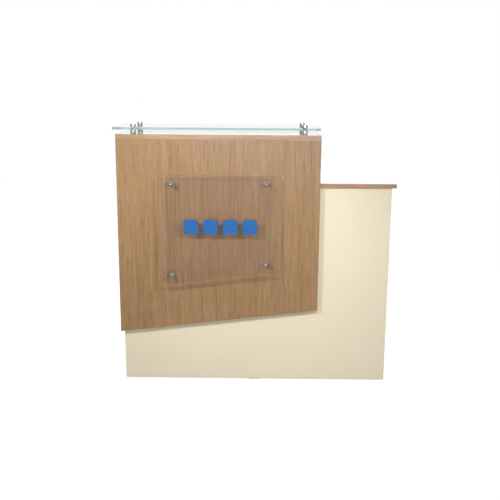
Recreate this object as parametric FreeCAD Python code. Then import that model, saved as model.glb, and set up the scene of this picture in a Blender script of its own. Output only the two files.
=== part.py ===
import FreeCAD, Part
import math
import os

from FreeCAD import Vector

# A standing-height shop counter, in millimetres. A board base on floor pads carries a worktop for the
# staff. A fascia with a slanted lower edge stands on the base's front and rises into a raised ledge for
# the customer, with a glass ledge over it and a clear sign plate in front of it.
# X runs to the customer's right, Y from the customer to the staff, Z up. Sizes are set out from the
# base's front left corner on the floor. At the end every piece is moved, so that the origin lies on the
# floor under the middle of the whole counter.

# Base
base_width = 1168.0
carcass_depth = 568.0
board = 18.0
pad_height = 5.0
pad_length = 50.0
pad_width = 16.0
pad_end_distance = 60.0
plinth_height = 60.0
plinth_setback = 42.0

# Worktop
worktop_end_overhang = 18.0
worktop_front_overhang = 10.0
worktop_rear_overhang = 10.0
fascia_notch_gap = 1.0

# Fascia and wood ledge
fascia_width = 872.0
fascia_overhang = 14.0
fascia_board = 22.0
fascia_low_edge = 228.0
fascia_high_edge = 333.0
ledge_height = 1100.0
ledge_depth = 300.0
ledge_box_height = 183.0
ledge_rear_reveal = 8.0

# Glass ledge and its posts
glass_thickness = 10.0
glass_left_overhang = 12.5
glass_right_inset = 4.5
glass_corner = 6.0
glass_hole_radius = 5.25
glass_post_end_inset = 68.5
glass_post_edge_inset = 50.0
glass_post_radius = 12.5
glass_barrel_length = 18.0
glass_cap_length = 12.0
glass_stud_radius = 4.0
glass_stud_bite = 15.0

# Sign plate and its posts
sign_width = 482.0
sign_height = 477.0
sign_thickness = 8.0
sign_drop = 171.0
sign_shift_right = 2.0
sign_hole_radius = 4.25
sign_side_inset = 38.0
sign_top_inset = 35.0
sign_bottom_inset = 42.0
sign_post_radius = 9.5
sign_barrel_length = 30.0
sign_cap_length = 8.0
sign_stud_radius = 3.0
sign_stud_bite = 14.0

# Blank tiles on the sign plate
tile_count = 4
tile_side = 62.0
tile_pitch = 84.0
tile_thickness = 4.0
tile_corner = 8.0
tile_drop = 217.0
tile_shift_right = 8.0

# Posts: clear washers, rounded rims and a waist groove
washer_thickness = 1.0
washer_rim = 2.5
post_rim = 1.2
groove_width = 1.6
groove_depth = 0.8

# Shelf
shelf_height = 440.0
shelf_setback = 48.0
shelf_gap = 1.5
pin_radius = 2.5
pin_bite = 8.0
pin_tab_length = 9.0
pin_tab_width = 10.0
pin_tab_thickness = 3.0
pin_row_inset = 60.0
pin_pitch = 32.0
pin_rows_each_way = 3

# Drawer
front_gap = 3.0
drawer_front_height = 160.0
drawer_side_board = 15.0
drawer_side_height = 110.0
drawer_rear_gap = 82.0
drawer_side_lift = 14.0
drawer_bottom_board = 5.0
drawer_bottom_lift = 7.0
drawer_groove_depth = 6.0
drawer_cam_drop = 24.0
drawer_back_screw_inset = 12.0
drawer_back_screw_bite = 15.0

# Telescopic runners
runner_width = 12.7
runner_height = 45.0
runner_sheet = 1.2
runner_gap = 0.4
runner_end_gap = 2.0
runner_screw_inset = 40.0

# Drawer lock
lock_drop = 32.0
lock_barrel_radius = 8.0
lock_flange_radius = 11.0
lock_flange = 2.0
lock_tail = 5.0
lock_nut_wall = 2.0
lock_nut_thickness = 4.0
lock_plug_radius = 6.0
lock_plug_proud = 0.8
lock_plug_fit = 0.05
lock_key_slot_width = 1.6
lock_key_slot_height = 7.0
lock_key_slot_depth = 8.0
lock_tang_side = 5.0
lock_tang_proud = 0.5
lock_cam_thickness = 2.5
lock_cam_width = 11.0
lock_running_gap = 0.3
strike_sheet = 1.5
strike_width = 44.0
strike_foot = 26.0
strike_clearance = 4.0
strike_cam_gap = 0.8
strike_screw_spacing = 26.0

# Door and its hinges
hinge_height = 60.0
hinge_end_distance = 80.0
hinge_leaf_gap = 0.6
hinge_leaf_inset = 1.0
hinge_knuckle_radius = 4.0
hinge_knuckle_lift = 0.5
hinge_knuckles = 5
hinge_knuckle_gap = 0.2
hinge_notch_gap = 0.3
hinge_pin_radius = 2.0
hinge_pin_fit = 0.05
hinge_pin_head_radius = 3.2
hinge_pin_head = 1.5
hinge_screw_spacing = 20.0

# Bar handles
handle_length = 176.0
handle_spacing = 128.0
handle_bar_radius = 5.0
handle_post_radius = 4.0
handle_finger_gap = 22.0
handle_screw_bite = 10.0
drawer_handle_lift = 70.0
door_handle_inset = 45.0
door_handle_drop = 120.0

# Magnetic catch
catch_drop = 50.0
catch_length = 40.0
catch_width = 14.0
catch_foot = 2.5
catch_ear = 10.0
catch_plate_sheet = 1.2
catch_plate_width = 24.0
catch_plate_screw_inset = 7.0
catch_air_gap = 0.3

# Countersunk screws, pan-head screws, cam fittings, dowels and nails
screw_head_radius = 3.5
screw_shank_radius = 1.75
screw_length = 13.0
screw_head_rim = 0.3
screw_tip = 3.0
screw_tip_radius = 0.4
cross_width = 1.0
cross_length = 3.6
cross_depth = 1.0
pan_head_radius = 4.2
pan_head = 2.4
pan_shank_radius = 2.0
fascia_screw_bite = 12.0
fascia_screw_inset = 60.0
fascia_screw_drop = 77.0
cam_radius = 7.5
cam_past_bolt = 0.5
cam_setback = 34.0
cam_slot_width = 2.0
cam_slot_depth = 2.0
cam_bolt_radius = 3.0
cam_bolt_bite = 11.0
cam_end_distance = 100.0
dowel_radius = 4.0
dowel_edge_bite = 18.0
dowel_cover = 4.0
dowel_cam_distance = 40.0
nail_radius = 1.2
nail_head_radius = 3.0
nail_head = 1.2
nail_bite = 14.0
nail_recess = 0.8

# Clearance round what is fixed in a hole, and how far a cutting shape runs past a face
fixed_clearance = 0.1
overrun = 1.0

# Heights and places that follow from the sizes above
ledge_underside = ledge_height - fascia_board
worktop_height = ledge_underside - ledge_box_height
worktop_underside = worktop_height - board
bottom_low = pad_height + plinth_height
bottom_top = bottom_low + board
fascia_left = -fascia_overhang
fascia_right = fascia_left + fascia_width
fascia_middle = (fascia_left + fascia_right) / 2
fascia_slope = (fascia_high_edge - fascia_low_edge) / fascia_width
partition_left = (base_width - board) / 2
partition_right = partition_left + board
right_side_inner = base_width - board
ledge_rear = ledge_depth - fascia_board
front_back = carcass_depth - board
front_left = partition_right + front_gap
front_right = right_side_inner - front_gap
drawer_front_top = worktop_underside - front_gap
drawer_front_low = drawer_front_top - drawer_front_height
door_top = drawer_front_low - front_gap
door_low = bottom_top + front_gap
drawer_rear = board + drawer_rear_gap
hinge_leaf = (front_gap - hinge_leaf_gap) / 2
glass_left = fascia_left - glass_left_overhang
glass_right = fascia_right - glass_right_inset
glass_low =ledge_height + glass_barrel_length + washer_thickness
sign_back = -fascia_board - sign_barrel_length - washer_thickness
sign_front = sign_back - sign_thickness
sign_left = fascia_middle + sign_shift_right - sign_width / 2
sign_top = ledge_height - sign_drop

RIGHT = Vector(1, 0, 0)
BACK = Vector(0, 1, 0)
UP = Vector(0, 0, 1)

pieces = {}
holes = {}


def add(node, *solids):
    pieces.setdefault(node, []).extend(solids)


def drill(node, *cutters):
    holes.setdefault(node, []).extend(cutters)


def box(x, y, z):
    """A box between two limits on each axis, given in either order."""
    low = Vector(min(x), min(y), min(z))
    high = Vector(max(x), max(y), max(z))
    size = high - low
    return Part.makeBox(size.x, size.y, size.z, low)


def rod(at, along, radius, length):
    return Part.makeCylinder(radius, length, at, along)


def hole(mouth, into, radius, depth):
    """A cutting cylinder that starts outside the mouth."""
    return rod(mouth - into * overrun, into, radius, depth + overrun)


def prism(points, along):
    """A solid with straight sides, from an outline and the vector that it is drawn along."""
    outline = Part.makePolygon(points + points[:1])
    return Part.Face(outline).extrude(along)


def place(solid, at, along):
    """Stand a solid that was made upright at the origin at a point, along a direction."""
    solid.Placement = FreeCAD.Placement(at, FreeCAD.Rotation(UP, along))
    return solid


def turned(profile):
    """A solid turned about the vertical from its (radius, height) points."""
    start = Vector(0, 0, profile[0][1])
    end = Vector(0, 0, profile[-1][1])
    outline = [start] + [Vector(radius, 0, height) for radius, height in profile] + [end, start]
    return Part.Face(Part.makePolygon(outline)).revolve(Vector(), UP, 360)


def cross_recess(depth):
    """The cross in a screw's head, cut down from the origin."""
    half = cross_length / 2
    thin = cross_width / 2
    one = box((-half, half), (-thin, thin), (-overrun, depth))
    other = box((-thin, thin), (-half, half), (-overrun, depth))
    return one.fuse(other)


def countersunk_screw(node, at, along, nodes, length=screw_length):
    """A countersunk wood screw whose head is flush at a point, and its hole in each board or plate."""
    cone = screw_head_rim + screw_head_radius - screw_shank_radius
    solid = turned([
        (screw_head_radius, 0),
        (screw_head_radius, screw_head_rim),
        (screw_shank_radius, cone),
        (screw_shank_radius, length - screw_tip),
        (screw_tip_radius, length),
    ])
    add(node, place(solid.cut(cross_recess(cross_depth)), at, along))
    for name in nodes:
        cutter = turned([
            (screw_head_radius + fixed_clearance, -overrun),
            (screw_head_radius + fixed_clearance, screw_head_rim),
            (screw_shank_radius + fixed_clearance, cone),
            (screw_shank_radius + fixed_clearance, length + fixed_clearance),
        ])
        drill(name, place(cutter, at, along))


def pan_screw(node, at, along, length, nodes):
    """A pan-head screw seated on a face at a point, and its hole in each piece that it enters."""
    head = turned([
        (pan_head_radius - pan_head / 3, -pan_head),
        (pan_head_radius, -pan_head / 2),
        (pan_head_radius, 0),
        (pan_shank_radius, 0),
        (pan_shank_radius, length),
    ])
    recess = cross_recess(cross_depth)
    recess.translate(Vector(0, 0, -pan_head))
    add(node, place(head.cut(recess), at, along))
    for name in nodes:
        drill(name, hole(at, along, pan_shank_radius + fixed_clearance, length + fixed_clearance))


def cam_joint(locks, bolts, own, mate, edge, toward, face, thickness):
    """A cam lock in a board's face that draws a bolt, and so the board beside it, against its edge.

    edge is a point where the two boards meet, in the middle of the first board's thickness, toward
    points into the second board, and face points out of the face that holds the cam.
    """
    mouth = edge - toward * cam_setback + face * (thickness / 2)
    cam_depth = thickness / 2 + cam_bolt_radius + cam_past_bolt
    bolt = rod(edge + toward * cam_bolt_bite, -toward, cam_bolt_radius, cam_bolt_bite + cam_setback)
    wide = cam_bolt_radius + fixed_clearance
    bolt_way = rod(edge + toward * overrun, -toward, wide, overrun + cam_setback + fixed_clearance)
    slot = box((-cam_radius / 2, cam_radius / 2), (-cam_slot_width / 2, cam_slot_width / 2),
               (-overrun, cam_slot_depth))
    lock = rod(mouth, -face, cam_radius, cam_depth).cut([bolt_way, place(slot, mouth, -face)])
    add(locks, lock)
    add(bolts, bolt)
    drill(own, bolt_way, hole(mouth, -face, cam_radius + fixed_clearance, cam_depth + fixed_clearance))
    drill(mate, hole(edge, toward, wide, cam_bolt_bite + fixed_clearance))


def dowel(at, toward, own, mate):
    """A wood dowel at a point where one board's edge meets the face of another, towards the other."""
    wide = dowel_radius + fixed_clearance
    face_bite = board - dowel_cover
    length = dowel_edge_bite + face_bite
    add("wood_dowels", rod(at - toward * dowel_edge_bite, toward, dowel_radius, length))
    drill(own, hole(at, -toward, wide, dowel_edge_bite + fixed_clearance))
    drill(mate, hole(at, toward, wide, face_bite + fixed_clearance))


def fascia_edge(x):
    """Height of the fascia's slanted lower edge."""
    return fascia_low_edge + (x - fascia_left) * fascia_slope


def base_boards():
    """Front, sides, partition, bottom and plinth, and what joins them."""
    sides_y = (board, carcass_depth)
    sides_z = (pad_height, worktop_underside)
    middle = partition_left + board / 2
    add("front_panel", box((0, base_width), (0, board), sides_z))
    add("left_side_panel", box((0, board), sides_y, sides_z))
    add("right_side_panel", box((right_side_inner, base_width), sides_y, sides_z))
    add("centre_partition", box((partition_left, partition_right), sides_y, (bottom_top, worktop_underside)))
    inside_x = (board, right_side_inner)
    add("bottom_panel", box(inside_x, sides_y, (bottom_low, bottom_top)))
    plinth_rear = carcass_depth - plinth_setback
    add("rear_plinth", box(inside_x, (plinth_rear - board, plinth_rear), (pad_height, bottom_low)))

    # Uprights to the front panel and to the worktop
    near = board + cam_end_distance
    far = carcass_depth - cam_end_distance
    high = worktop_underside - cam_end_distance
    for node, x, face in (("left_side_panel", board / 2, RIGHT),
                          ("right_side_panel", base_width - board / 2, -RIGHT),
                          ("centre_partition", middle, RIGHT)):
        low = bottom_top + cam_end_distance
        for z in (low, (low + high) / 2, high):
            cam_joint("cam_locks", "cam_bolts", node, "front_panel", Vector(x, board, z), -BACK, face, board)
        for z in (low + dowel_cam_distance, high - dowel_cam_distance):
            dowel(Vector(x, board, z), -BACK, node, "front_panel")
        for y in (near, far):
            cam_joint("cam_locks", "cam_bolts", node, "worktop", Vector(x, y, worktop_underside), UP,
                      face, board)

    # Bottom panel to the uprights, with its cams on the underside, and the partition on dowels
    bottom_middle = bottom_low + board / 2
    for node, x, toward in (("left_side_panel", board, -RIGHT),
                            ("right_side_panel", right_side_inner, RIGHT)):
        for y in (near, far - cam_end_distance):
            cam_joint("cam_locks", "cam_bolts", "bottom_panel", node, Vector(x, y, bottom_middle), toward,
                      -UP, board)
        plinth_edge = Vector(x, plinth_rear - board / 2, pad_height + plinth_height / 2)
        cam_joint("cam_locks", "cam_bolts", "rear_plinth", node, plinth_edge, toward, -BACK, board)
    for y in (near, far):
        dowel(Vector(middle, y, bottom_top), -UP, "centre_partition", "bottom_panel")
    for x in (partition_left - cam_end_distance, partition_right + cam_end_distance):
        cam_joint("cam_locks", "cam_bolts", "bottom_panel", "front_panel", Vector(x, board, bottom_middle),
                  -BACK, -UP, board)


def floor_pads():
    """Low pads nailed under the front panel, the sides and the plinth."""
    middle = base_width / 2
    front = board + pad_end_distance
    rear = carcass_depth - pad_end_distance
    plinth_middle = carcass_depth - plinth_setback - board / 2
    feet = [(middle, board / 2, RIGHT, "front_panel"), (middle, plinth_middle, RIGHT, "rear_plinth")]
    for node, x in (("left_side_panel", board / 2), ("right_side_panel", base_width - board / 2)):
        feet += [(x, front, BACK, node), (x, rear, BACK, node)]
    for x, y, along, node in feet:
        half_width = pad_width / 2
        half_flat = pad_length / 2 - half_width
        across = BACK if along == RIGHT else RIGHT
        centre = Vector(x, y, 0)
        ends = [centre - along * half_flat, centre + along * half_flat]
        a, b = [end + across * half_width for end in ends]
        d, c = [end - across * half_width for end in ends]
        sides = [Part.makeLine(a, b), Part.makeLine(c, d)]
        round_ends = [Part.Arc(b, ends[1] + along * half_width, c).toShape(),
                      Part.Arc(d, ends[0] - along * half_width, a).toShape()]
        outline = Part.Wire([sides[0], round_ends[0], sides[1], round_ends[1]])
        pad = Part.Face(outline).extrude(UP * pad_height)
        head = centre + UP * nail_recess
        seat = nail_recess + nail_head
        nail = turned([(nail_head_radius, 0), (nail_head_radius, nail_head), (nail_radius, nail_head),
                       (nail_radius, pad_height - nail_recess + nail_bite)])
        add("floor_pad_nails", place(nail, head, UP))
        add("floor_pads", pad.cut([hole(centre, UP, nail_head_radius + fixed_clearance, seat),
                                   hole(centre, UP, nail_radius + fixed_clearance, pad_height + overrun)]))
        drill(node, hole(centre + UP * pad_height, UP, nail_radius + fixed_clearance,
                         nail_bite + fixed_clearance))


def worktop():
    """The staff worktop, cut back behind the fascia."""
    left = fascia_left
    right = base_width + worktop_end_overhang
    rear = carcass_depth + worktop_rear_overhang
    notch = fascia_right + fascia_notch_gap
    corners = [(left, 0), (notch, 0), (notch, -worktop_front_overhang), (right, -worktop_front_overhang),
               (right, rear), (left, rear)]
    add("worktop", prism([Vector(x, y, worktop_underside) for x, y in corners], UP * board))


def raised_ledge():
    """Fascia, ledge board and the three uprights of the open box between worktop and ledge."""
    front = -fascia_board
    corners = [(fascia_left, fascia_low_edge), (fascia_right, fascia_high_edge),
               (fascia_right, ledge_underside), (fascia_left, ledge_underside)]
    add("fascia_panel", prism([Vector(x, front, z) for x, z in corners], BACK * fascia_board))
    add("ledge_board", box((fascia_left, fascia_right), (front, ledge_rear), (ledge_underside, ledge_height)))
    rear = ledge_rear - ledge_rear_reveal
    half = board / 2
    middle_z = (worktop_height + ledge_underside) / 2
    uprights = (("ledge_left_side", fascia_left + fascia_overhang + half, RIGHT),
                ("ledge_divider", fascia_middle, RIGHT),
                ("ledge_right_side", fascia_right - fascia_overhang - half, -RIGHT))
    for node, x, face in uprights:
        add(node, box((x - half, x + half), (0, rear), (worktop_height, ledge_underside)))
        cam_joint("cam_locks", "cam_bolts", node, "fascia_panel", Vector(x, 0, middle_z), -BACK, face, board)
        for y in (rear / 3, rear * 2 / 3):
            cam_joint("cam_locks", "cam_bolts", node, "ledge_board", Vector(x, y, ledge_underside), UP,
                      face, board)
            dowel(Vector(x, y, worktop_height), -UP, node, "worktop")

    # Screws from inside the base hold the fascia
    for x in (board + fascia_screw_inset, partition_left - fascia_screw_inset,
              partition_right + fascia_screw_inset, fascia_right - fascia_screw_inset):
        for z in (fascia_edge(x) + fascia_screw_inset, worktop_underside - fascia_screw_drop):
            pan_screw("fascia_screws", Vector(x, board, z), -BACK, board + fascia_screw_bite,
                      ("front_panel", "fascia_panel"))


def post(name, at, along, radius, barrel_length, panel, cap_length, stud_radius, bite, wall):
    """A chrome post that holds a clear panel off a wall: barrel, washers, cap, and a stud through all."""
    def groove(length):
        return [(radius, (length - groove_width) / 2), (radius - groove_depth, length / 2),
                (radius, (length + groove_width) / 2)]

    seat = barrel_length + washer_thickness
    top = seat + panel + washer_thickness
    stud_end = top + cap_length * 2 / 3
    barrel = turned([(radius - post_rim, 0), (radius, post_rim)] + groove(barrel_length)
                    + [(radius, barrel_length - post_rim), (radius - post_rim, barrel_length)])
    cap = turned([(radius - post_rim / 2, 0), (radius, post_rim / 2)] + groove(cap_length)
                 + [(radius, cap_length - post_rim), (radius - post_rim, cap_length)])
    stud_way = stud_radius + fixed_clearance
    through = hole(Vector(), UP, stud_way, barrel_length + overrun)
    blind = hole(Vector(), UP, stud_way, stud_end - top + fixed_clearance)
    ring = Part.makeCylinder(radius - washer_rim, washer_thickness).cut(through)
    add(name + "_barrels", place(barrel.cut(through), at, along))
    add(name + "_caps", place(cap.cut(blind), at + along * top, along))
    for height in (barrel_length, seat + panel):
        add(name + "_washers", place(ring.copy(), at + along * height, along))
    add(name + "_studs", rod(at - along * bite, along, stud_radius, bite + stud_end))
    drill(wall, hole(at, -along, stud_way, bite + fixed_clearance))


def glass_ledge():
    """The glass over the wood ledge, on four posts."""
    front = -fascia_board
    glass = box((glass_left, glass_right), (front, ledge_rear), (glass_low, glass_low + glass_thickness))
    upright = [edge for edge in glass.Edges if edge.Vertexes[0].Z != edge.Vertexes[1].Z]
    add("glass_ledge", glass.makeFillet(glass_corner, upright))
    for x in (fascia_left + glass_post_end_inset, fascia_right - glass_post_end_inset):
        for y in (front + glass_post_edge_inset, ledge_rear - glass_post_edge_inset):
            post("glass_post", Vector(x, y, ledge_height), UP, glass_post_radius, glass_barrel_length,
                 glass_thickness, glass_cap_length, glass_stud_radius, glass_stud_bite, "ledge_board")
            drill("glass_ledge", hole(Vector(x, y, glass_low), UP, glass_hole_radius,
                                      glass_thickness + overrun))


def sign():
    """The clear sign plate on four posts, its lower edge parallel to the fascia's, and its blank tiles."""
    right = sign_left + sign_width
    low_left = sign_top - sign_height
    low_right = low_left + sign_width * fascia_slope
    corners = [(sign_left, low_left), (right, low_right), (right, sign_top), (sign_left, sign_top)]
    add("sign_plate", prism([Vector(x, sign_back, z) for x, z in corners], -BACK * sign_thickness))
    for x in (sign_left + sign_side_inset, right - sign_side_inset):
        low = low_left + (x - sign_left) * fascia_slope + sign_bottom_inset
        for z in (low, sign_top - sign_top_inset):
            post("sign_post", Vector(x, -fascia_board, z), -BACK, sign_post_radius, sign_barrel_length,
                 sign_thickness, sign_cap_length, sign_stud_radius, sign_stud_bite, "fascia_panel")
            drill("sign_plate", hole(Vector(x, sign_back, z), -BACK, sign_hole_radius,
                                     sign_thickness + overrun))
    centre = (sign_left + right) / 2 + tile_shift_right
    first = centre - (tile_count - 1) * tile_pitch / 2 - tile_side / 2
    for number in range(tile_count):
        corner = Vector(first + number * tile_pitch, sign_front - tile_thickness,
                        sign_top - tile_drop - tile_side / 2)
        tile = Part.makeBox(tile_side, tile_thickness, tile_side, corner)
        across = [edge for edge in tile.Edges if edge.Vertexes[0].Y != edge.Vertexes[1].Y]
        add("sign_tiles", tile.makeFillet(tile_corner, across))


def shelf():
    """The adjustable shelf of the open bay, its four pins and the rows of holes for them."""
    rear = carcass_depth - shelf_setback
    add("adjustable_shelf", box((board + shelf_gap, partition_left - shelf_gap), (board + shelf_gap, rear),
                                (shelf_height, shelf_height + board)))
    peg_z = shelf_height - pin_tab_thickness - pin_radius
    for node, x, inward in (("left_side_panel", board, RIGHT), ("centre_partition", partition_left, -RIGHT)):
        for y in (board + pin_row_inset, rear - pin_row_inset):
            peg = rod(Vector(x, y, peg_z) - inward * pin_bite, inward, pin_radius, pin_bite + pin_tab_length)
            tab = box((x, x + inward.x * pin_tab_length), (y - pin_tab_width / 2, y + pin_tab_width / 2),
                      (shelf_height - pin_tab_thickness, shelf_height))
            web = box((x, x + inward.x * pin_tab_length), (y - pin_radius / 2, y + pin_radius / 2),
                      (peg_z, shelf_height - pin_tab_thickness))
            add("shelf_pins", peg.fuse([tab, web]).removeSplitter())
            for step in range(-pin_rows_each_way, pin_rows_each_way + 1):
                mouth = Vector(x, y, peg_z + step * pin_pitch)
                drill(node, hole(mouth, -inward, pin_radius + fixed_clearance, pin_bite + fixed_clearance))


def bar_handle(node, screws, centre, along, front):
    """A bar on two posts, screwed on from the back of a drawer front or door."""
    axis = centre + BACK * (handle_finger_gap + handle_bar_radius)
    bar = rod(axis - along * (handle_length / 2), along, handle_bar_radius, handle_length)
    foot_holes = []
    for side in (-1, 1):
        foot = centre + along * (side * handle_spacing / 2)
        bar = bar.fuse(rod(foot, BACK, handle_post_radius, handle_finger_gap + handle_bar_radius))
        foot_holes.append(hole(foot, BACK, pan_shank_radius + fixed_clearance,
                               handle_screw_bite + fixed_clearance))
        pan_screw(screws, foot - BACK * board, BACK, board + handle_screw_bite, (front,))
    add(node, bar.removeSplitter().cut(foot_holes))


def channel(face, toward, depth, half_height, y, z):
    """A runner member: a sheet channel with its web on a face, open towards a side."""
    outer = box((face, face + toward * depth), y, (z - half_height, z + half_height))
    inner = box((face + toward * runner_sheet, face + toward * (depth + overrun)),
                (y[0] - overrun, y[1] + overrun),
                (z - half_height + runner_sheet, z + half_height - runner_sheet))
    return outer.cut(inner)


def runners(side_low):
    """Three-part telescopic runners on both sides of the drawer."""
    y = (drawer_rear + runner_end_gap, front_back - runner_end_gap)
    z = side_low + drawer_side_height / 2
    step = runner_sheet + runner_gap
    half = runner_height / 2
    screw_y = (y[0] + runner_screw_inset, (y[0] + y[1]) / 2, y[1] - runner_screw_inset)
    for wall, drawer_side, face, toward in (
            ("centre_partition", "drawer_left_side", partition_right, 1),
            ("right_side_panel", "drawer_right_side", right_side_inner, -1)):
        cabinet_depth = runner_width - step
        drawer_face = face + toward * runner_width
        add("runner_cabinet_members", channel(face, toward, cabinet_depth, half, y, z))
        add("runner_middle_members", channel(face + toward * step, toward, cabinet_depth - step,
                                             half - step, y, z))
        add("runner_drawer_members", channel(drawer_face, -toward, runner_width - 2 * step,
                                             half - 2 * step, y, z))
        for place_y in screw_y:
            countersunk_screw("small_screws", Vector(face + toward * runner_sheet, place_y, z),
                              RIGHT * -toward, (wall, "runner_cabinet_members"))
            countersunk_screw("drawer_screws", Vector(drawer_face - toward * runner_sheet, place_y, z),
                              RIGHT * toward, (drawer_side, "runner_drawer_members"))


def drawer():
    """The drawer's front, sides, back and bottom, and its handle."""
    side_low = drawer_front_low + drawer_side_lift
    side_top = side_low + drawer_side_height
    left =partition_right + runner_width
    right = right_side_inner - runner_width
    inner_left = left + drawer_side_board
    inner_right = right - drawer_side_board
    bottom_z = (side_low + drawer_bottom_lift, side_low + drawer_bottom_lift + drawer_bottom_board)
    slack = fixed_clearance
    add("drawer_front", box((front_left, front_right), (front_back, carcass_depth),
                            (drawer_front_low, drawer_front_top)))
    add("drawer_left_side", box((left, inner_left), (drawer_rear, front_back), (side_low, side_top)))
    add("drawer_right_side", box((inner_right, right), (drawer_rear, front_back), (side_low, side_top)))
    add("drawer_back", box((inner_left, inner_right), (drawer_rear, drawer_rear + drawer_side_board),
                           (bottom_z[1], side_top)))
    groove_x = (inner_left - drawer_groove_depth, inner_right + drawer_groove_depth)
    groove_end = front_back + drawer_groove_depth
    add("drawer_bottom", box((groove_x[0] + slack, groove_x[1] - slack), (drawer_rear, groove_end - slack),
                             bottom_z))
    groove = box(groove_x, (drawer_rear - overrun, groove_end), (bottom_z[0] - slack, bottom_z[1] + slack))
    for node in ("drawer_left_side", "drawer_right_side", "drawer_front"):
        drill(node, groove)
    half = drawer_side_board / 2
    for node, x, inward in (("drawer_left_side", left, RIGHT), ("drawer_right_side", right, -RIGHT)):
        edge = Vector(x, front_back, side_top - drawer_cam_drop) + inward * half
        cam_joint("drawer_cam_locks", "drawer_cam_bolts", node, "drawer_front", edge, BACK, inward,
                  drawer_side_board)
        for z in (bottom_z[1] + drawer_back_screw_inset, side_top - drawer_back_screw_inset):
            countersunk_screw("drawer_screws", Vector(x, drawer_rear + half, z), inward,
                              (node, "drawer_back"), drawer_side_board + drawer_back_screw_bite)
    runners(side_low)
    centre = Vector((front_left + front_right) / 2, carcass_depth, drawer_front_low + drawer_handle_lift)
    bar_handle("drawer_handle", "drawer_handle_screws", centre, RIGHT, "drawer_front")


def drawer_lock():
    """A cam lock in the drawer front, and the strike under the worktop that its cam catches."""
    axis = Vector((front_left + front_right) / 2, 0, drawer_front_top - lock_drop)

    def at(y):
        return axis + BACK * y

    tail = front_back - lock_tail
    plug_bore = lock_plug_radius + lock_plug_fit
    barrel = rod(at(tail), BACK, lock_barrel_radius, carcass_depth - tail)
    flange = rod(at(carcass_depth), BACK, lock_flange_radius, lock_flange)
    bore = hole(at(tail), BACK, plug_bore, carcass_depth + lock_flange - tail + overrun)
    add("drawer_lock_body", barrel.fuse(flange).cut(bore))
    drill("drawer_front", hole(at(front_back), BACK, lock_barrel_radius + fixed_clearance, board + overrun))

    corner = 2 * (lock_barrel_radius + lock_nut_wall) / math.sqrt(3)
    turns = [math.radians(60 * side) for side in range(6)]
    outline = [at(front_back) + Vector(corner * math.sin(turn), 0, corner * math.cos(turn)) for turn in turns]
    nut_hole = hole(at(front_back), -BACK, lock_barrel_radius + fixed_clearance, lock_nut_thickness + overrun)
    add("drawer_lock_nut", prism(outline, -BACK * lock_nut_thickness).cut(nut_hole))

    # The plug runs in the body and ends in a square tang that carries the cam
    shoulder = tail - lock_running_gap
    face = carcass_depth + lock_flange + lock_plug_proud
    cam_rear = shoulder - lock_cam_thickness
    half_tang = lock_tang_side / 2
    slot_x = lock_key_slot_width / 2
    slot_z = lock_key_slot_height / 2
    key_slot = box((axis.x - slot_x, axis.x + slot_x), (face - lock_key_slot_depth, face + overrun),
                   (axis.z - slot_z, axis.z + slot_z))
    tang = box((axis.x - half_tang, axis.x + half_tang), (cam_rear - lock_tang_proud, shoulder),
               (axis.z - half_tang, axis.z + half_tang))
    plug = rod(at(shoulder), BACK, lock_plug_radius, face - shoulder).cut(key_slot)
    add("lock_plug", plug.fuse(tang))

    # Turned up, the cam stands behind the strike
    strike_low = axis.z + corner + strike_clearance
    cam_reach = worktop_underside - strike_sheet - strike_clearance - axis.z
    cam_half = lock_cam_width / 2
    arm = box((axis.x, axis.x + cam_reach), (cam_rear, shoulder), (axis.z - cam_half, axis.z + cam_half))
    eye = rod(at(cam_rear), BACK, cam_half, lock_cam_thickness)
    wide = half_tang + fixed_clearance
    tang_hole = box((axis.x - wide, axis.x + wide), (cam_rear - overrun, shoulder + overrun),
                    (axis.z - wide, axis.z + wide))
    add("lock_cam", arm.fuse(eye).removeSplitter().cut(tang_hole))

    strike_front = shoulder + strike_cam_gap
    x = (axis.x - strike_width / 2, axis.x + strike_width / 2)
    leg = box(x, (strike_front, strike_front + strike_sheet), (strike_low, worktop_underside))
    foot = box(x, (strike_front + strike_sheet - strike_foot, strike_front + strike_sheet),
               (worktop_underside - strike_sheet, worktop_underside))
    add("lock_strike", leg.fuse(foot).removeSplitter())
    screw_y = strike_front + strike_sheet - strike_foot / 2
    for side in (-1, 1):
        head = Vector(axis.x + side * strike_screw_spacing / 2, screw_y, worktop_underside - strike_sheet)
        countersunk_screw("small_screws", head, UP, ("lock_strike", "worktop"))


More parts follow.
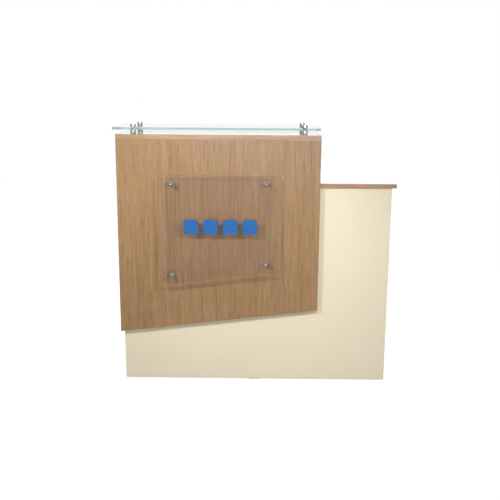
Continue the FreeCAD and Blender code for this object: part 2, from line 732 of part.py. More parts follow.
def hinge(centre_z):
    """A butt hinge between the door's edge and the side panel, its pin just behind their rear faces."""
    axis_x = right_side_inner - front_gap / 2
    axis_y = carcass_depth + hinge_knuckle_lift + hinge_knuckle_radius
    low = centre_z - hinge_height / 2
    knuckle = hinge_height / hinge_knuckles
    leaf_front = front_back + hinge_leaf_inset
    bore = hole(Vector(axis_x, axis_y, low), UP, hinge_pin_radius + hinge_pin_fit, hinge_height + overrun)
    leaves = (("hinge_fixed_leaves", right_side_inner, -1, 0), ("hinge_door_leaves", front_right, 1, 1))
    for node, face, toward, first in leaves:
        leaf = box((face, face + toward * hinge_leaf), (leaf_front, axis_y), (low, low + hinge_height))
        rolls = []
        notches = [bore]
        for number in range(hinge_knuckles):
            start = Vector(axis_x, axis_y, low + number * knuckle)
            if number % 2 == first:
                trimmed = start + UP * (hinge_knuckle_gap / 2)
                rolls.append(rod(trimmed, UP, hinge_knuckle_radius, knuckle - hinge_knuckle_gap))
            else:
                shift = hinge_knuckle_gap / 2
                notches.append(rod(start - UP * shift, UP, hinge_knuckle_radius + hinge_notch_gap,
                                   knuckle + hinge_knuckle_gap))
        add(node, leaf.fuse(rolls).removeSplitter().cut(notches))
    pin_top = hinge_height + hinge_pin_head
    pin = turned([(hinge_pin_head_radius, -hinge_pin_head), (hinge_pin_head_radius, 0),
                  (hinge_pin_radius, 0), (hinge_pin_radius, hinge_height),
                  (hinge_pin_head_radius, hinge_height), (hinge_pin_head_radius, pin_top)])
    add("hinge_pins", place(pin, Vector(axis_x, axis_y, low), UP))
    middle_y = (leaf_front + carcass_depth) / 2
    for step in (-1, 0, 1):
        z = centre_z + step * hinge_screw_spacing
        countersunk_screw("small_screws", Vector(right_side_inner - hinge_leaf, middle_y, z), RIGHT,
                          ("right_side_panel", "hinge_fixed_leaves"))
        countersunk_screw("door_screws", Vector(front_right + hinge_leaf, middle_y, z), -RIGHT,
                          ("door_panel", "hinge_door_leaves"))


def magnetic_catch():
    """A magnetic catch on the partition, and its steel plate on the door."""
    z = door_top - catch_drop
    plate_front = front_back - catch_plate_sheet
    face = plate_front - catch_air_gap
    half = catch_width / 2
    rear = face - catch_length
    body = box((partition_right, partition_right + catch_width), (rear, face), (z - half, z + half))
    half_foot = half + catch_ear
    foot = box((partition_right, partition_right + catch_foot), (rear + half, face - half),
               (z - half_foot, z + half_foot))
    add("catch_body", body.fuse(foot).removeSplitter())
    for side in (-1, 1):
        ear_middle = z + side * (half + catch_ear / 2)
        head = Vector(partition_right + catch_foot, (rear + face) / 2, ear_middle)
        countersunk_screw("small_screws", head, -RIGHT, ("catch_body", "centre_partition"))
    left = front_left + front_gap / 2
    add("catch_plate", box((left, left + catch_plate_width), (plate_front, front_back), (z - half, z + half)))
    head = Vector(left + catch_plate_width - catch_plate_screw_inset, plate_front, z)
    countersunk_screw("door_screws", head, BACK, ("catch_plate", "door_panel"))


def door():
    """The inset door under the drawer, with its hinges, handle and catch."""
    add("door_panel", box((front_left, front_right), (front_back, carcass_depth), (door_low, door_top)))
    for z in (door_low + hinge_end_distance, door_top - hinge_end_distance):
        hinge(z)
    centre = Vector(front_left + door_handle_inset, carcass_depth, door_top - door_handle_drop)
    bar_handle("door_handle", "door_handle_screws", centre, UP, "door_panel")
    magnetic_catch()


def origin():
    """The point on the floor under the middle of the whole counter."""
    left = min(fascia_left, glass_left)
    right =base_width + worktop_end_overhang
    front = sign_front - washer_thickness - sign_cap_length
    rear = carcass_depth + handle_finger_gap + 2 * handle_bar_radius
    return Vector((left + right) / 2, (front + rear) / 2, 0)


base_boards()
floor_pads()
worktop()
raised_ledge()
glass_ledge()
sign()
shelf()
drawer()
drawer_lock()
door()

os.makedirs("parts", exist_ok=True)
for node, solids in pieces.items():
    if node in holes:
        solids = [solid for piece in solids for solid in piece.cut(holes[node]).Solids]
    shape = Part.makeCompound(solids)
    shape.translate(-origin())
    shape.exportStep("parts/" + node + ".step")
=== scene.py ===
import math

import bmesh
import bpy
from mathutils import Matrix, Vector


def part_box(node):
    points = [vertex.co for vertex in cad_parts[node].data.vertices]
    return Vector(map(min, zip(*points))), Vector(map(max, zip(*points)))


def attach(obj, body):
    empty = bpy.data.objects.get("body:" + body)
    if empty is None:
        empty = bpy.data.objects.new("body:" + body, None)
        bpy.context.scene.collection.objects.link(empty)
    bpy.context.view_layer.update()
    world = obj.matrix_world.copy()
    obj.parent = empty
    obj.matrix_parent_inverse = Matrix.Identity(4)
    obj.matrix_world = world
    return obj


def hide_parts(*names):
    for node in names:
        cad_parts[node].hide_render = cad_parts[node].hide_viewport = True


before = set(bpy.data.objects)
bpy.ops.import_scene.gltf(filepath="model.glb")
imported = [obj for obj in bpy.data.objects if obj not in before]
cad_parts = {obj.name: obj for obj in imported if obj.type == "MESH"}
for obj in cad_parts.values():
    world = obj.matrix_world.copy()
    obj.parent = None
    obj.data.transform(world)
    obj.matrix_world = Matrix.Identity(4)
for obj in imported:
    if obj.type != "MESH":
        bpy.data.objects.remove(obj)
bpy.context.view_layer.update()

# Carcass: seven 18 mm chipboard panels faced with cream melamine and edged with a band of the same colour.
# Cams, dowels and screws draw them together from inside, so the faces are plain. The shelf lies on pins.
# The drawer's sides and back are 15 mm boards with the same facing.
CARCASS_BOARDS = ("front_panel", "left_side_panel", "right_side_panel", "centre_partition", "bottom_panel",
                  "rear_plinth", "adjustable_shelf")
DRAWER_BOARDS = ("drawer_left_side", "drawer_right_side", "drawer_back")


def paint(red, green, blue):
    """The linear colour of an sRGB one given from 0 to 255."""
    shares = [value / 255 for value in (red, green, blue)]
    linear = [s / 12.92 if s <= 0.04045 else ((s + 0.055) / 1.055) ** 2.4 for s in shares]
    return (*linear, 1)


def wire(tree, kind, feeds=None, **settings):
    """Adds a shader node: settings are its own, and feeds give its inputs a value or a link."""
    node = tree.nodes.new("ShaderNode" + kind)
    for name, value in settings.items():
        setattr(node, name, value)
    for name, value in (feeds or {}).items():
        if isinstance(value, bpy.types.NodeSocket):
            tree.links.new(value, node.inputs[name])
        else:
            node.inputs[name].default_value = value
    return node


def sums(tree, operation, *values):
    """The outcome of one sum on numbers or sockets."""
    return wire(tree, "Math", dict(enumerate(values)), operation=operation).outputs[0]


def spread(tree, value, ends, new_ends=(0, 1)):
    """Stretches the part of a value between two ends to the new ends, and holds it there."""
    feeds = {"Value": value, "From Min": ends[0], "From Max": ends[1]}
    feeds |= {"To Min": new_ends[0], "To Max": new_ends[1]}
    return wire(tree, "MapRange", feeds).outputs["Result"]


def mixed(tree, share, first, second):
    """Goes from the first colour to the second as the share goes from 0 to 1."""
    return wire(tree, "Mix", {0: share, 6: first, 7: second}, data_type="RGBA").outputs[2]


def cloud(tree, place, stretch, detail=2.0):
    """Smooth noise from 0 to 1 with about stretch bumps to the metre along X, Y and Z."""
    scaled = wire(tree, "VectorMath", {0: place, 1: stretch}, operation="MULTIPLY").outputs[0]
    return wire(tree, "TexNoise", {"Vector": scaled, "Scale": 1.0, "Detail": detail}).outputs[0]


def each_way(bumps):
    """The stretch of a noise that is as fine along X as along Y and Z."""
    return (bumps, bumps, bumps)


def own_place(tree):
    """The point on the piece in metres, which rides with the piece."""
    return wire(tree, "TexCoord").outputs["Object"]


def new_effect(name, takes, gives):
    """An empty node group with those inputs and outputs, each a name and a kind of socket."""
    tree = bpy.data.node_groups.new(name, "ShaderNodeTree")
    for sockets, way in ((takes, "INPUT"), (gives, "OUTPUT")):
        for socket, kind in sockets.items():
            tree.interface.new_socket(socket, in_out=way, socket_type="NodeSocket" + kind)
    return tree, tree.nodes.new("NodeGroupInput").outputs, tree.nodes.new("NodeGroupOutput").inputs


def use_effect(tree, effect, **feeds):
    """Places a shared effect in a material with its own values."""
    return wire(tree, "Group", feeds, node_tree=effect).outputs


def new_finish(name, **plain):
    """A material with a Principled shader, whose sockets take the plain values."""
    material = bpy.data.materials.new(name)
    material.use_nodes = True
    shader = material.node_tree.nodes["Principled BSDF"]
    for socket, value in plain.items():
        shader.inputs[socket.replace("_", " ")].default_value = value
    return material, material.node_tree, shader.inputs


def texture_bump(tree, height, depth, under=None):
    """The normal of a surface whose height rises by depth in metres where the value is 1."""
    feeds = {"Height": height, "Distance": depth, "Strength": 1.0}
    if under:
        feeds["Normal"] = under
    return wire(tree, "Bump", feeds).outputs[0]


def coat(material, *pieces):
    """Gives the pieces their finish."""
    for name in pieces:
        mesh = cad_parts[name].data
        mesh.materials.clear()
        mesh.materials.append(material)


EASED_EDGE = 0.0008
EASED_STEPS = 2
EASED_ABOVE = math.radians(60)
SAME_POINT = 0.00001


def ease_edges(*pieces):
    """Takes the sharpness off the edges of boards, as the trimming of an edge band does."""
    for name in pieces:
        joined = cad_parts[name].modifiers.new("joined_corners", "WELD")
        joined.merge_threshold = SAME_POINT
        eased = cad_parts[name].modifiers.new("eased_edges", "BEVEL")
        eased.width = EASED_EDGE
        eased.segments = EASED_STEPS
        eased.limit_method = "ANGLE"
        eased.angle_limit = EASED_ABOVE
        eased.harden_normals = True


FLAT_COSINE = 0.995
EDGE_COSINE = 0.85
worn_edge, taken, given = new_effect(
    "worn_edge", {"Reach": "Float", "Patches": "Float"}, {"Wear": "Float", "Normal": "Vector"})
rounded = wire(worn_edge, "Bevel", {"Radius": taken["Reach"]}, samples=6).outputs[0]
flat = wire(worn_edge, "NewGeometry").outputs["Normal"]
facing = wire(worn_edge, "VectorMath", {0: rounded, 1: flat}, operation="DOT_PRODUCT").outputs["Value"]
patches = cloud(worn_edge, own_place(worn_edge), each_way(45), 4)
turning = spread(worn_edge, facing, (FLAT_COSINE, EDGE_COSINE))
rubbed = sums(worn_edge, "MULTIPLY", turning, spread(worn_edge, patches, (0.35, 0.7)))
worn_edge.links.new(sums(worn_edge, "MULTIPLY", rubbed, taken["Patches"]), given["Wear"])
worn_edge.links.new(rounded, given["Normal"])

NOISE_ENDS = (0.3, 0.7)


def new_surface(name, mottle, colours, roughness, depth, texture=None, worn=None, **plain):
    """A finish that goes from one colour to the other with the mottle, a noise given as stretch and detail.

    Its roughness and relief follow the texture, or the mottle where there is none. Worn gives how far in
    the edges are rubbed, how strongly, and the colour that the rubbing leaves.
    """
    material, tree, sockets = new_finish(name, **plain)
    place = own_place(tree)
    mottled = cloud(tree, place, *mottle)
    grained = cloud(tree, place, *texture) if texture else mottled
    colour = mixed(tree, mottled, *colours)
    under = None
    if worn:
        reach, strength, rubbed_colour = worn
        wear = use_effect(tree, worn_edge, Reach=reach, Patches=strength)
        colour = mixed(tree, wear["Wear"], colour, rubbed_colour)
        under = wear["Normal"]
    tree.links.new(colour, sockets["Base Color"])
    tree.links.new(spread(tree, grained, NOISE_ENDS, roughness), sockets["Roughness"])
    tree.links.new(texture_bump(tree, grained, depth, under), sockets["Normal"])
    return material


CREAM_DEEP = paint(227, 216, 189)
CREAM_PALE = paint(233, 222, 197)
CREAM_RUBBED = paint(214, 196, 160)
cream = new_surface("cream_melamine", mottle=(each_way(6), 3), texture=(each_way(1400), 3),
                    colours=(CREAM_DEEP, CREAM_PALE), roughness=(0.38, 0.5), depth=0.00003,
                    worn=(0.0008, 0.5, CREAM_RUBBED), Specular_IOR_Level=0.4)
coat(cream, *CARCASS_BOARDS, *DRAWER_BOARDS)
ease_edges(*CARCASS_BOARDS, *DRAWER_BOARDS)

# Worktop, fascia, ledge box, drawer front and door: chipboard with a straight-grained wood-effect laminate
# and matching edge bands. The grain runs lengthways on the worktop, the ledge board and the drawer front,
# and upright on the rest.
UPRIGHT_BOARDS = ("fascia_panel", "ledge_left_side", "ledge_right_side", "ledge_divider", "door_panel")
LENGTHWAYS_BOARDS = ("worktop", "ledge_board", "drawer_front")
GRAIN_BEND = 0.02
BAND_SHARE = 0.3
STREAK_SHARE = 1.1
THREAD_SHARE = 1.25
TONE_SHIFT = -0.825
grain, taken, given = new_effect(
    "straight_grain", {"Place": "Vector"}, {"Tone": "Float", "Rosy": "Float", "Pores": "Float"})
drift = cloud(grain, taken["Place"], (2.5, 2.5, 1.1), 1)
across, depth, along = wire(grain, "SeparateXYZ", {0: taken["Place"]}).outputs
bent = sums(grain, "MULTIPLY_ADD", drift, GRAIN_BEND, across)
line_place = wire(grain, "CombineXYZ", {0: bent, 1: depth, 2: along}).outputs[0]
bands = cloud(grain, line_place, (34, 34, 0.8), 1)
streaks = cloud(grain, line_place, (120, 120, 6), 2)
threads = cloud(grain, line_place, (300, 300, 16), 3)
tone = sums(grain, "MULTIPLY_ADD", streaks, STREAK_SHARE, TONE_SHIFT)
tone = sums(grain, "MULTIPLY_ADD", bands, BAND_SHARE, tone)
tone = sums(grain, "MULTIPLY_ADD", threads, THREAD_SHARE, tone)
grain.links.new(tone, given["Tone"])
grain.links.new(cloud(grain, line_place, (60, 60, 9), 3), given["Rosy"])
pores = cloud(grain, line_place, (1100, 1100, 22), 2)
grain.links.new(spread(grain, pores, (0.6, 0.72)), given["Pores"])

OLIVE_DARK = paint(128, 97, 54)
OLIVE_LIGHT = paint(173, 141, 94)
ROSY_DARK = paint(132, 95, 61)
ROSY_LIGHT = paint(177, 137, 102)
PORE_BROWN = paint(108, 76, 48)
WOOD_RUBBED = paint(96, 70, 46)
PORE_SHARE = 0.3


def wood_laminate(name, turn, pale, gloss):
    """Wood-effect laminate with its grain along Z once its place is turned about Y. Pale lifts the tone."""
    material, tree, sockets = new_finish(
        name, Specular_IOR_Level=1.0, Coat_Weight=gloss, Coat_Roughness=0.18)
    feeds = {"Vector": own_place(tree), "Rotation": (0, turn, 0)}
    turned = wire(tree, "Mapping", feeds).outputs[0]
    lines = use_effect(tree, grain, Place=turned)
    wear = use_effect(tree, worn_edge, Reach=0.001, Patches=0.7)
    lit = sums(tree, "ADD", lines["Tone"], pale)
    olive = mixed(tree, lit, OLIVE_DARK, OLIVE_LIGHT)
    rosy = mixed(tree, lit, ROSY_DARK, ROSY_LIGHT)
    colour = mixed(tree, spread(tree, lines["Rosy"], (0.25, 0.75)), olive, rosy)
    colour = mixed(tree, sums(tree, "MULTIPLY", lines["Pores"], PORE_SHARE), colour, PORE_BROWN)
    colour = mixed(tree, wear["Wear"], colour, WOOD_RUBBED)
    tree.links.new(colour, sockets["Base Color"])
    tree.links.new(spread(tree, lines["Tone"], (0.2, 0.8), (0.36, 0.28)), sockets["Roughness"])
    height = sums(tree, "SUBTRACT", lines["Tone"], lines["Pores"])
    tree.links.new(texture_bump(tree, height, 0.00004, wear["Normal"]), sockets["Normal"])
    return material


coat(wood_laminate("wood_laminate_upright", turn=0, pale=0, gloss=0), *UPRIGHT_BOARDS)
coat(wood_laminate("wood_laminate_lengthways", turn=math.pi / 2, pale=0.2, gloss=1), *LENGTHWAYS_BOARDS)
ease_edges(*UPRIGHT_BOARDS, *LENGTHWAYS_BOARDS)

# Glass ledge: a 10 mm sheet of clear float glass with polished edges, which look teal because the light
# runs along inside the sheet. It lies on soft washers between the posts' barrels and caps.
EDGE_HAZE = 0.3


def clear_sheet(name, tint, edge, shade, edge_shade, thin_axis, bend):
    """A clear sheet with one tint for its faces, across the thin axis, and another for its edges.

    The shades are what is left of a lamp's light that has passed through a face or an edge.
    """
    material, tree, sockets = new_finish(name, IOR=bend, Transmission_Weight=1.0)
    coordinates = wire(tree, "TexCoord").outputs
    normal = wire(tree, "SeparateXYZ", {0: coordinates["Normal"]}).outputs[thin_axis]
    on_edge = sums(tree, "LESS_THAN", sums(tree, "ABSOLUTE", normal), 0.5)
    smears = cloud(tree, coordinates["Object"], each_way(9), 4)
    tree.links.new(mixed(tree, on_edge, tint, edge), sockets["Base Color"])
    smudged = spread(tree, smears, (0.55, 0.8), (0, 0.02))
    tree.links.new(sums(tree, "MULTIPLY_ADD", on_edge, EDGE_HAZE, smudged), sockets["Roughness"])
    passing = wire(tree, "BsdfTransparent", {0: mixed(tree, on_edge, shade, edge_shade)}).outputs[0]
    light_path = wire(tree, "LightPath").outputs
    surface = tree.nodes["Principled BSDF"].outputs[0]
    for ray in ("Is Diffuse Ray", "Is Shadow Ray"):
        surface = wire(tree, "MixShader", {0: light_path[ray], 1: surface, 2: passing}).outputs[0]
    tree.links.new(surface, tree.nodes["Material Output"].inputs["Surface"])
    return material


float_glass = clear_sheet(
    "float_glass", tint=(0.97, 0.99, 0.985, 1), edge=(0.36, 0.57, 0.57, 1), shade=(0.92, 0.96, 0.95, 1),
    edge_shade=(0.6, 0.78, 0.77, 1), thin_axis=2, bend=1.52)
coat(float_glass, "glass_ledge")

# Stand-off posts: turned brass, polished and chromed, four under the glass and four behind the sign plate.
# A zinc-plated stud goes through each from the board to its cap, with soft clear washers at the sheet.
# The drawer's lock has the same chrome.
CHROME_CLEAR = (0.74, 0.75, 0.77, 1)
CHROME_FOGGED = (0.86, 0.86, 0.87, 1)
chrome, tree, sockets = new_finish("polished_chrome", Metallic=1.0)
place = own_place(tree)
fogged = cloud(tree, place, each_way(120), 4)
tree.links.new(mixed(tree, fogged, CHROME_CLEAR, CHROME_FOGGED), sockets["Base Color"])
tree.links.new(spread(tree, fogged, (0.3, 0.75), (0.05, 0.14)), sockets["Roughness"])
turned_rings = cloud(tree, place, (60, 60, 2600), 1)
tree.links.new(texture_bump(tree, turned_rings, 0.000004), sockets["Normal"])
coat(chrome, "glass_post_barrels", "sign_post_barrels", "drawer_lock_body", "lock_plug")

CAP_SIDES = 48
CAP_RIM = 0.0016
CAP_GROOVE = 0.0006
CAP_FOOT = 0.0005
ARC_STEPS = 8
GLASS_CAP_CROWN = 0.0012
SIGN_CAP_CROWN = 0.0026
CREASE_ANGLE = math.radians(35)


def solids_of(name):
    """The lowest and highest corner of each separate solid in a node."""
    copy = bmesh.new()
    copy.from_mesh(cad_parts[name].data)
    bmesh.ops.remove_doubles(copy, verts=copy.verts, dist=SAME_POINT)
    waiting = set(copy.verts)
    boxes = []
    while waiting:
        solid = {waiting.pop()}
        edge_of_it = list(solid)
        while edge_of_it:
            near = {edge.other_vert(point) for point in edge_of_it for edge in point.link_edges} & waiting
            waiting -= near
            solid |= near
            edge_of_it = list(near)
        along_axes = list(zip(*(point.co for point in solid)))
        boxes.append([Vector([pick(values) for values in along_axes]) for pick in (min, max)])
    copy.free()
    return boxes


def arc(centre, radius, start, end):
    """Points from the start angle to the end angle, in degrees, round a centre."""
    angles = [math.radians(start + (end - start) * step / ARC_STEPS) for step in range(ARC_STEPS + 1)]
    return [(centre[0] + radius * math.cos(a), centre[1] + radius * math.sin(a)) for a in angles]


def cap_outline(radius, length, crown):
    """Half the section of a cap from its foot to the top of its crowned face, as radius and height."""
    shoulder = length - crown - CAP_RIM
    middle = shoulder / 2
    flat = radius - CAP_RIM
    bow = (flat ** 2 + crown ** 2) / (2 * crown)
    slope = math.degrees(math.asin(flat / bow))
    foot = [(0, 0), (radius - CAP_FOOT, 0), (radius, CAP_FOOT)]
    groove = [(radius, middle - CAP_GROOVE), (radius - CAP_GROOVE, middle), (radius, middle + CAP_GROOVE)]
    rim = arc((flat, shoulder), CAP_RIM, 0, 90 - slope)
    face = arc((0, length - bow), bow, 90 - slope, 90)
    return foot + groove + rim + face[1:]


def turned_caps(node, outward, crown):
    """One crowned cap for each in the node, turned about its axis with its face outward."""
    across = Vector((1, 0, 0))
    mesh = bmesh.new()
    for low, high in solids_of(node):
        size = high - low
        length = abs(size.dot(outward))
        foot = (low + high) / 2 - outward * length / 2
        outline = cap_outline(size.dot(across) / 2, length, crown)
        points = [mesh.verts.new(foot + across * out + outward * up) for out, up in outline]
        edges = [mesh.edges.new(pair) for pair in zip(points, points[1:])]
        bmesh.ops.spin(mesh, geom=points + edges, cent=foot, axis=outward, angle=math.tau, steps=CAP_SIDES,
                       use_merge=True, use_duplicate=False)
    bmesh.ops.remove_doubles(mesh, verts=mesh.verts, dist=SAME_POINT)
    bmesh.ops.recalc_face_normals(mesh, faces=mesh.faces)
    data = bpy.data.meshes.new(node + "_turned")
    mesh.to_mesh(data)
    mesh.free()
    for face in data.polygons:
        face.use_smooth = True
    data.set_sharp_from_angle(angle=CREASE_ANGLE)
    data.materials.append(chrome)
    piece = bpy.data.objects.new(node + "_turned", data)
    bpy.context.scene.collection.objects.link(piece)
    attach(piece, "counter")
    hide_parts(node)


turned_caps("glass_post_caps", Vector((0, 0, 1)), GLASS_CAP_CROWN)
turned_caps("sign_post_caps", Vector((0, -1, 0)), SIGN_CAP_CROWN)
washer_plastic = clear_sheet(
    "washer_plastic", tint=(0.92, 0.92, 0.9, 1), edge=(0.88, 0.88, 0.86, 1), shade=(0.85, 0.85, 0.83, 1),
    edge_shade=(0.8, 0.8, 0.78, 1), thin_axis=2, bend=1.45)
coat(washer_plastic, "glass_post_washers", "sign_post_washers")

# Sign plate: 8 mm clear cast acrylic, cut with a slanting foot and smoothed edges, held off the fascia
# by four posts. Four plain blue tiles with round corners are glued to its face.
clear_acrylic = clear_sheet(
    "clear_acrylic", tint=(0.985, 0.985, 0.98, 1), edge=(0.9, 0.92, 0.9, 1), shade=(0.9, 0.875, 0.875, 1),
    edge_shade=(0.02, 0.02, 0.02, 1), thin_axis=1, bend=1.49)
coat(clear_acrylic, "sign_plate")

BLUE_DEEP = paint(34, 92, 158)
BLUE_PALE = paint(42, 102, 170)
BLUE_RUBBED = paint(120, 170, 222)
blue = new_surface("blue_acrylic", mottle=(each_way(35), 3), colours=(BLUE_DEEP, BLUE_PALE),
                   roughness=(0.16, 0.26), depth=0.00004, worn=(0.0006, 0.5, BLUE_RUBBED),
                   Coat_Weight=0.4, Coat_Roughness=0.05)
coat(blue, "sign_tiles")

# Fittings of zinc-plated steel: studs, bolts, screws, nails, pins, hinge leaves, runners, the catch plate
# and the lock's cam, nut and strike. They are stamped, turned or headed, then plated, so the surface is
# dull with a faint cloudy spangle.
ZINC_FITTINGS = ("shelf_pins", "glass_post_studs", "sign_post_studs", "cam_bolts", "fascia_screws",
                 "small_screws", "floor_pad_nails", "runner_cabinet_members", "runner_middle_members",
                 "runner_drawer_members", "hinge_fixed_leaves", "hinge_door_leaves", "hinge_pins",
                 "lock_strike", "lock_cam", "catch_plate", "drawer_handle_screws", "drawer_cam_bolts",
                 "drawer_screws", "drawer_lock_nut", "door_screws", "door_handle_screws")
ZINC_DARK = (0.42, 0.43, 0.46, 1)
ZINC_PALE = (0.62, 0.63, 0.64, 1)
ZINC_RUBBED = (0.75, 0.75, 0.74, 1)
zinc = new_surface("zinc_plate", mottle=(each_way(220), 5), colours=(ZINC_DARK, ZINC_PALE),
                   roughness=(0.26, 0.46), depth=0.00001, worn=(0.0004, 0.7, ZINC_RUBBED), Metallic=1.0)
coat(zinc, *ZINC_FITTINGS)

# Cam locks: zinc alloy die castings that sit in bores on the inner faces and pull the bolts tight.
# They come out of the die with a dull, pitted skin.
CAST_DARK = (0.4, 0.4, 0.42, 1)
CAST_PALE = (0.66, 0.66, 0.67, 1)
cast = new_surface("die_cast_zinc", mottle=(each_way(700), 5), colours=(CAST_DARK, CAST_PALE),
                   roughness=(0.4, 0.6), depth=0.00005, Metallic=1.0)
coat(cast, "cam_locks", "drawer_cam_locks")

# Dowels: turned beech, glued half into one board and pushed into the next, so they show only with the
# counter apart. The wood is pale with short darker flecks along the pin.
BEECH_FLECK = paint(188, 146, 104)
BEECH_PALE = paint(224, 186, 142)
beech = new_surface("beech", mottle=(each_way(900), 4), colours=(BEECH_FLECK, BEECH_PALE),
                    roughness=(0.6, 0.6), depth=0.00005)
coat(beech, "wood_dowels")

# Drawer bottom: 5 mm hardboard slid into grooves in the drawer's sides. Its face is smooth and brown with
# the fibres of the pulp showing as fine pale and dark specks.
PULP_DARK = paint(170, 140, 102)
PULP_PALE = paint(222, 198, 160)
PULP_STAIN = paint(182, 152, 112)
STAIN_SHARE = 0.3
hardboard, tree, sockets = new_finish("hardboard", Roughness=0.62)
place = own_place(tree)
fibres = cloud(tree, place, (500, 900, 500), 5)
stained = sums(tree, "MULTIPLY", cloud(tree, place, each_way(7), 3), STAIN_SHARE)
pulp = mixed(tree, fibres, PULP_DARK, PULP_PALE)
tree.links.new(mixed(tree, stained, pulp, PULP_STAIN), sockets["Base Color"])
tree.links.new(texture_bump(tree, fibres, 0.00006), sockets["Normal"])
coat(hardboard, "drawer_bottom")

# Handles: round steel bars on two posts for the drawer and the door, brushed along their length and screwed
# on from inside. The drawer's bar lies level and the door's stands upright.
STEEL_DARK = (0.48, 0.48, 0.49, 1)
STEEL_PALE = (0.7, 0.7, 0.7, 1)
STEEL_RUBBED = (0.8, 0.8, 0.79, 1)


def brushed_steel(name, stretch):
    """Satin steel whose brush lines are long where the stretch is small."""
    return new_surface(name, mottle=(stretch, 3), colours=(STEEL_DARK, STEEL_PALE), roughness=(0.24, 0.4),
                       depth=0.00001, worn=(0.0006, 0.5, STEEL_RUBBED), Metallic=1.0)


coat(brushed_steel("brushed_steel_level", (20, 1600, 1600)), "drawer_handle")
coat(brushed_steel("brushed_steel_upright", (1600, 1600, 20)), "door_handle")

# Floor pads and catch: moulded plastic with a fine spark-eroded texture. The six pads are nailed under the
# panels, and the catch with its magnet is screwed inside the cupboard.
PAD_DEEP = paint(206, 198, 172)
PAD_PALE = paint(222, 215, 190)
CATCH_DEEP = paint(214, 210, 200)
CATCH_PALE = paint(232, 229, 220)


def moulded_plastic(name, deep, pale):
    """Matt moulded plastic with a fine texture, rubbed to its paler colour at the edges."""
    return new_surface(name, mottle=(each_way(60), 2), texture=(each_way(1500), 3), colours=(deep, pale),
                       roughness=(0.42, 0.58), depth=0.00004, worn=(0.0005, 0.5, pale))


coat(moulded_plastic("pad_plastic", PAD_DEEP, PAD_PALE), "floor_pads")
coat(moulded_plastic("catch_plastic", CATCH_DEEP, CATCH_PALE), "catch_body")

# Stage: a plain pale floor, two small aimed lamps in front that throw the sign's two crisp shadows, a
# softbox behind the camera that shines in the fascia's top, and a low panel behind the counter that whitens
# the worktop's sheen. The rest is the light of a white room, dimmer behind the camera.
FLOOR_FRONT = -2.43
FLOOR_REACH = 7.0
FLOOR_GLOW = 0.58
FLOOR_COLOUR = (0.63, 0.63, 0.625, 1)
FLOOR_IN_SHEENS = (0.2, 0.2, 0.2, 1)
floor_mesh = bpy.data.meshes.new("floor")
corners = [(-FLOOR_REACH, FLOOR_FRONT, 0), (FLOOR_REACH, FLOOR_FRONT, 0), (FLOOR_REACH, FLOOR_REACH, 0),
           (-FLOOR_REACH, FLOOR_REACH, 0)]
floor_mesh.from_pydata(corners, [], [(0, 1, 2, 3)])
floor = bpy.data.objects.new("floor", floor_mesh)
bpy.context.scene.collection.objects.link(floor)


def seen_clearly(tree):
    """Is 1 for what the camera sees straight or through clear sheets, and 0 for all other light."""
    light_path = wire(tree, "LightPath").outputs
    bounced = sums(tree, "MAXIMUM", light_path["Glossy Depth"], light_path["Diffuse Depth"])
    straight = sums(tree, "LESS_THAN", bounced, 0.5)
    through = sums(tree, "MULTIPLY", light_path["Is Transmission Ray"], straight)
    return sums(tree, "MAXIMUM", light_path["Is Camera Ray"], through)


pale, tree, sockets = new_finish("pale_floor", Roughness=0.9, Emission_Color=(1, 1, 1, 1))
in_sheens = wire(tree, "LightPath").outputs["Is Glossy Ray"]
tree.links.new(mixed(tree, in_sheens, FLOOR_COLOUR, FLOOR_IN_SHEENS), sockets["Base Color"])
tree.links.new(sums(tree, "MULTIPLY", seen_clearly(tree), FLOOR_GLOW), sockets["Emission Strength"])
floor_mesh.materials.append(pale)

# The lights and the camera are set out from the base's front left corner on the floor.
base_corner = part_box("front_panel")[0] * Vector((1, 1, 0))
LAMP_RADIUS = 0.012


def hang_light(name, kind, spot, aim, watts):
    """A light at a spot, turned to shine at its aim."""
    light = bpy.data.lights.new(name, kind)
    light.energy = watts
    stand = bpy.data.objects.new(name, light)
    turn = (Vector(aim) - Vector(spot)).to_track_quat("-Z", "Y").to_matrix().to_4x4()
    stand.matrix_world = Matrix.Translation(base_corner + Vector(spot)) @ turn
    bpy.context.scene.collection.objects.link(stand)
    return stand


def hang_lamp(name, spot, aim, cone, watts):
    """A small lamp that throws crisp shadows and isn't mirrored. Its cone is in degrees."""
    stand = hang_light(name, "SPOT", spot, aim, watts)
    stand.data.spot_size = math.radians(cone)
    stand.data.spot_blend = 1.0
    stand.data.shadow_soft_size = LAMP_RADIUS
    stand.visible_glossy = False


def hang_panel(name, spot, aim, size, watts):
    """A broad soft light that is mirrored, but isn't seen straight or through clear sheets."""
    stand = hang_light(name, "AREA", spot, aim, watts)
    stand.data.shape = "RECTANGLE"
    stand.data.size, stand.data.size_y = size
    stand.visible_camera = False
    stand.visible_transmission = False


hang_lamp("left_lamp", spot=(-0.31, -1.09, 1.43), aim=(0.35, 0, 0.8), cone=90, watts=53)
hang_lamp("right_lamp", spot=(1.26, -1.11, 1.36), aim=(0.1, 0, -0.2), cone=104, watts=49)
hang_panel("front_softbox", spot=(0.8, -4.6, 1.12), aim=(0.6, 0, 0.7), size=(2.6, 0.5), watts=26)
hang_panel("back_panel", spot=(0.6, 2.2, 0.84), aim=(0.6, 0, 0.84), size=(3.2, 0.7), watts=8)

world = bpy.data.worlds.new("white_room")
world.use_nodes = True
tree = world.node_tree
bpy.context.scene.world = world
AT_EYE_LEVEL = ((0.0, 1.0), (0.1, 1.0), (0.15, 0.2), (0.47, 0.2), (0.55, 0.55), (0.7, 0.55), (0.8, 0.3))
HIGHER_UP = ((0.0, 1.0), (0.45, 1.0), (0.65, 0.25))
RISE_BETWEEN = (0.02, 0.2)


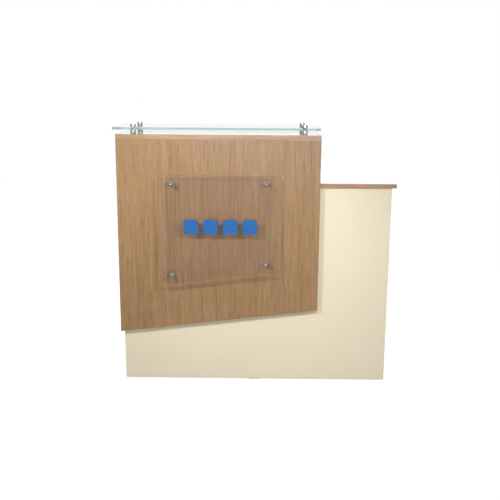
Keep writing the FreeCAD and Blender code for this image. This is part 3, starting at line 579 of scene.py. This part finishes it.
def round_the_room(tree, heading, stops):
    """The room's brightness, from straight behind the counter at 0 round to behind the camera at 1."""
    ramp = wire(tree, "ValToRGB", {0: heading})
    while len(ramp.color_ramp.elements) < len(stops):
        ramp.color_ramp.elements.new(1.0)
    while len(ramp.color_ramp.elements) > len(stops):
        ramp.color_ramp.elements.remove(ramp.color_ramp.elements[-1])
    for stop, (share, brightness) in zip(ramp.color_ramp.elements, stops):
        stop.position = share
        stop.color = (brightness, brightness, brightness, 1)
    return ramp.outputs["Color"]


side, toward, rise = wire(tree, "SeparateXYZ", {0: wire(tree, "TexCoord").outputs["Generated"]}).outputs
heading = sums(tree, "DIVIDE", sums(tree, "ABSOLUTE", sums(tree, "ARCTAN2", side, toward)), math.pi)
room = mixed(tree, spread(tree, rise, RISE_BETWEEN),
             round_the_room(tree, heading, AT_EYE_LEVEL), round_the_room(tree, heading, HIGHER_UP))
around = wire(tree, "Background", {"Color": room, "Strength": 1.0}).outputs[0]
white = wire(tree, "Background", {"Color": (1, 1, 1, 1), "Strength": 1.0}).outputs[0]
shown = wire(tree, "MixShader", {0: seen_clearly(tree), 1: around, 2: white}).outputs[0]
tree.links.new(shown, tree.nodes["World Output"].inputs["Surface"])

# Camera: 3.2 m in front of the fascia and 0.2 m above the ledge, looking down 12 degrees. Its spot, turn
# and focal length were fitted to the straight edges of the counter in the photo.
CAMERA_SPOT = base_corner + Vector((0.5915, -3.2458, 1.3038))
YAW, PITCH, ROLL = (math.radians(angle) for angle in (-0.574, 12.24, 0.387))
SENSOR = 36.0
IMAGE_SIDE = 500
FOCAL_PIXELS = 758.1
ahead = Vector((math.sin(YAW) * math.cos(PITCH), math.cos(YAW) * math.cos(PITCH), -math.sin(PITCH)))
right = Vector((math.cos(YAW), -math.sin(YAW), 0))
up = right.cross(ahead)
rolled_right = math.cos(ROLL) * right + math.sin(ROLL) * up
rolled_up = math.cos(ROLL) * up - math.sin(ROLL) * right
lens = bpy.data.cameras.new("camera")
lens.sensor_width = SENSOR
lens.lens = SENSOR * FOCAL_PIXELS / IMAGE_SIDE
camera = bpy.data.objects.new("camera", lens)
turn = Matrix((rolled_right, rolled_up, -ahead)).transposed()
camera.matrix_world = Matrix.Translation(CAMERA_SPOT) @ turn.to_4x4()
bpy.context.scene.collection.objects.link(camera)
bpy.context.scene.camera = camera
bpy.context.scene.view_settings.view_transform = "Standard"
